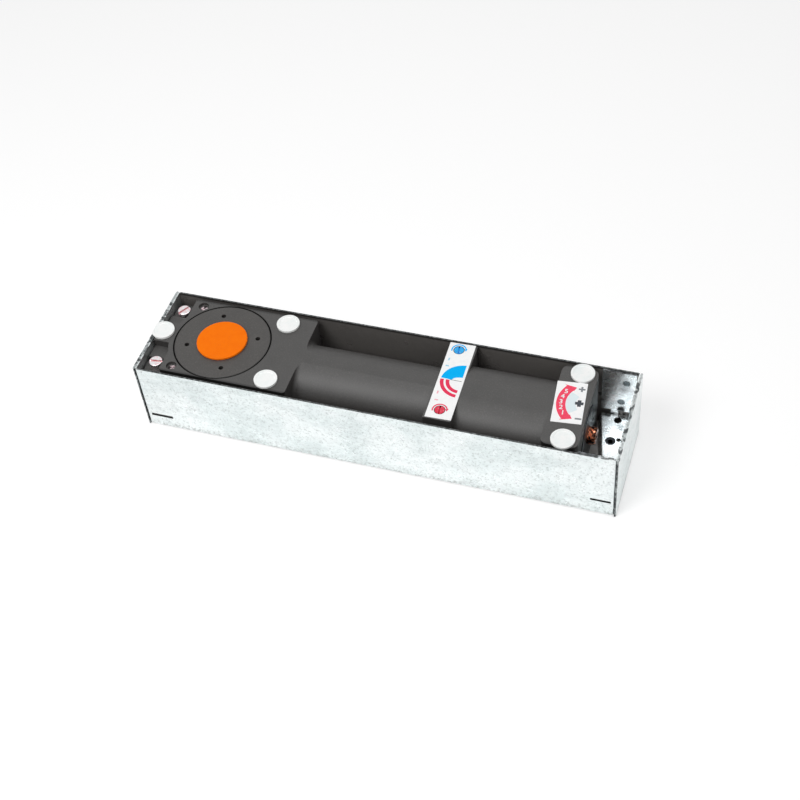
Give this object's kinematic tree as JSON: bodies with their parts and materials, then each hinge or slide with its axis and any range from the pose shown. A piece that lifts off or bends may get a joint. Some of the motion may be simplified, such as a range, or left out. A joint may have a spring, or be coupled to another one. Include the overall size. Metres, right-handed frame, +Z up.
{
  "type": "concealed floor door closer",
  "caption": "Floor spring for a swing door: cast hydraulic closer with capped spindle, speed valves and force adjuster, in a galvanised sheet steel box.",
  "frame": {"origin": "middle of the underside of the box", "axes": "+X along the box from the spindle to the force adjuster, +Y to the rear wall, +Z up"},
  "size_m": [0.341, 0.078, 0.0597],
  "materials": {
    "zinc_sheet": "galvanised sheet with a fine mottled spangle",
    "bracket_sheet": "bright galvanised sheet",
    "body_casting": "dark sand-cast finish",
    "cover_casting": "dark, turned face",
    "bearing_steel": "ground and polished",
    "machined_steel": "machined, oiled",
    "spring_steel": "dark oil-hardened",
    "copper_plate": "copper-coloured plating",
    "bronze": "plain bearing bronze",
    "screw_zinc": "zinc plated",
    "seal_rubber": "black oil-resistant rubber",
    "orange_plastic": "plain orange, satin",
    "white_plastic": "white with a faint grain",
    "label_sheet": "white printed sheet",
    "closing_paint": "light blue paint",
    "latch_paint": "red paint"
  },
  "bodies": {
    "case": {"box_channel": "zinc_sheet", "left_end_plate": "zinc_sheet", "right_end_plate": "zinc_sheet", "left_rail": "bracket_sheet", "right_bracket": "bracket_sheet", "closer_body": "body_casting", "bearing_cover": "cover_casting", "cover_seal": "seal_rubber", "lip_seal": "seal_rubber", "upper_bearing_outer_ring": "bearing_steel", "lower_bearing_outer_ring": "bearing_steel", "main_spring": "spring_steel", "thrust_washer": "machined_steel", "end_plug": "machined_steel", "end_plug_seal": "seal_rubber", "adjusting_screw_seal": "seal_rubber", "gallery_plug": "machined_steel", "cross_duct_plug": "machined_steel", "speed_label": "label_sheet", "force_label": "label_sheet", "clamp_screws": "screw_zinc", "rail_nuts": "screw_zinc", "bleed_screws": "screw_zinc", "levelling_screws": "screw_zinc", "foot_screws": "screw_zinc"},
    "spindle": {"spindle": "machined_steel", "heart_cam": "machined_steel", "cam_key": "machined_steel", "cam_circlip": "spring_steel", "upper_bearing_inner_ring": "bearing_steel", "lower_bearing_inner_ring": "bearing_steel"},
    "upper_ball_row": {"upper_bearing_balls": "bearing_steel"},
    "lower_ball_row": {"lower_bearing_balls": "bearing_steel"},
    "cap": {"protective_cap": "orange_plastic"},
    "piston": {"piston": "machined_steel", "piston_seal": "seal_rubber", "roller_pin": "bearing_steel", "check_valve_body": "machined_steel"},
    "roller": {"cam_roller": "bearing_steel", "roller_bush": "bronze"},
    "valve_ball": {"check_ball": "bearing_steel"},
    "adjuster": {"adjusting_screw": "copper_plate"},
    "spring_plate": {"spring_plate": "machined_steel", "spring_plate_key": "machined_steel"},
    "closing_valve_ring": {"closing_valve_seal": "seal_rubber"},
    "closing_valve": {"closing_valve_screw": "closing_paint"},
    "latch_valve_ring": {"latch_valve_seal": "seal_rubber"},
    "latch_valve": {"latch_valve_screw": "latch_paint"},
    "left_disc": {"left_hole_disc": "white_plastic"},
    "rear_disc": {"rear_hole_disc": "white_plastic"},
    "front_disc": {"front_hole_disc": "white_plastic"},
    "rear_pad_disc": {"rear_pad_disc": "white_plastic"},
    "front_pad_disc": {"front_pad_disc": "white_plastic"}
  },
  "joints": [
    {"name": "spindle_turn", "type": "hinge", "parent": "case", "child": "spindle", "pos_m": [-0.1185, 0, 0.0316], "axis": [0, 0, 1], "range_deg": [0, 130]},
    {"name": "upper_ball_turn", "type": "hinge", "parent": "case", "child": "upper_ball_row", "pos_m": [-0.1185, 0, 0.0478], "axis": [0, 0, 1], "range_deg": [0, 56]},
    {"name": "lower_ball_turn", "type": "hinge", "parent": "case", "child": "lower_ball_row", "pos_m": [-0.1185, 0, 0.0136], "axis": [0, 0, 1], "range_deg": [0, 54]},
    {"name": "piston_stroke", "type": "slide", "parent": "case", "child": "piston", "axis": [1, 0, 0], "range_m": [0, 0.011], "stiffness_N_per_m": 100000, "deforming": ["main_spring"]},
    {"name": "roller_spin", "type": "hinge", "parent": "piston", "child": "roller", "pos_m": [-0.0945, 0, 0.0316], "axis": [0, 0, 1], "continuous": true},
    {"name": "check_ball_lift", "type": "slide", "parent": "piston", "child": "valve_ball", "axis": [1, 0, 0], "range_m": [0, 0.0012]},
    {"name": "force_adjust", "type": "hinge", "parent": "case", "child": "adjuster", "pos_m": [0.13, 0, 0.0316], "axis": [1, 0, 0], "range_deg": [0, 2160]},
    {"name": "spring_plate_travel", "type": "slide", "parent": "case", "child": "spring_plate", "axis": [1, 0, 0], "range_m": [-0.0105, 0], "deforming": ["main_spring"]},
    {"name": "closing_valve_travel", "type": "slide", "parent": "case", "child": "closing_valve_ring", "axis": [0, 0, 1], "range_m": [-0.00263, 0.00075]},
    {"name": "closing_valve_turn", "type": "hinge", "parent": "closing_valve_ring", "child": "closing_valve", "pos_m": [0.0449, 0.0309, 0.05], "axis": [0, 0, 1], "range_deg": [-1260, 360]},
    {"name": "latch_valve_travel", "type": "slide", "parent": "case", "child": "latch_valve_ring", "axis": [0, 0, 1], "range_m": [-0.00263, 0.00075]},
    {"name": "latch_valve_turn", "type": "hinge", "parent": "latch_valve_ring", "child": "latch_valve", "pos_m": [0.0473, -0.0241, 0.05], "axis": [0, 0, 1], "range_deg": [-1260, 360]},
    {"name": "cap_lift", "type": "slide", "parent": "spindle", "child": "cap", "axis": [0, 0, 1], "range_m": [0, 0.015]},
    {"name": "left_disc_lift", "type": "slide", "parent": "case", "child": "left_disc", "axis": [0, 0, 1], "range_m": [0, 0.006]},
    {"name": "rear_disc_lift", "type": "slide", "parent": "case", "child": "rear_disc", "axis": [0, 0, 1], "range_m": [0, 0.006]},
    {"name": "front_disc_lift", "type": "slide", "parent": "case", "child": "front_disc", "axis": [0, 0, 1], "range_m": [0, 0.006]},
    {"name": "rear_pad_disc_lift", "type": "slide", "parent": "case", "child": "rear_pad_disc", "axis": [0, 0, 1], "range_m": [0, 0.006]},
    {"name": "front_pad_disc_lift", "type": "slide", "parent": "case", "child": "front_pad_disc", "axis": [0, 0, 1], "range_m": [0, 0.006]}
  ],
  "couplings": [
    {"joint": "spindle_turn", "follows": "piston_stroke", "rad_per_m": 206.19},
    {"joint": "upper_ball_turn", "follows": "piston_stroke", "rad_per_m": 85.979},
    {"joint": "lower_ball_turn", "follows": "piston_stroke", "rad_per_m": 82.887},
    {"joint": "force_adjust", "follows": "spring_plate_travel", "rad_per_m": -3590.4},
    {"joint": "closing_valve_turn", "follows": "closing_valve_travel", "rad_per_m": 8377.6},
    {"joint": "latch_valve_turn", "follows": "latch_valve_travel", "rad_per_m": 8377.6}
  ]
}
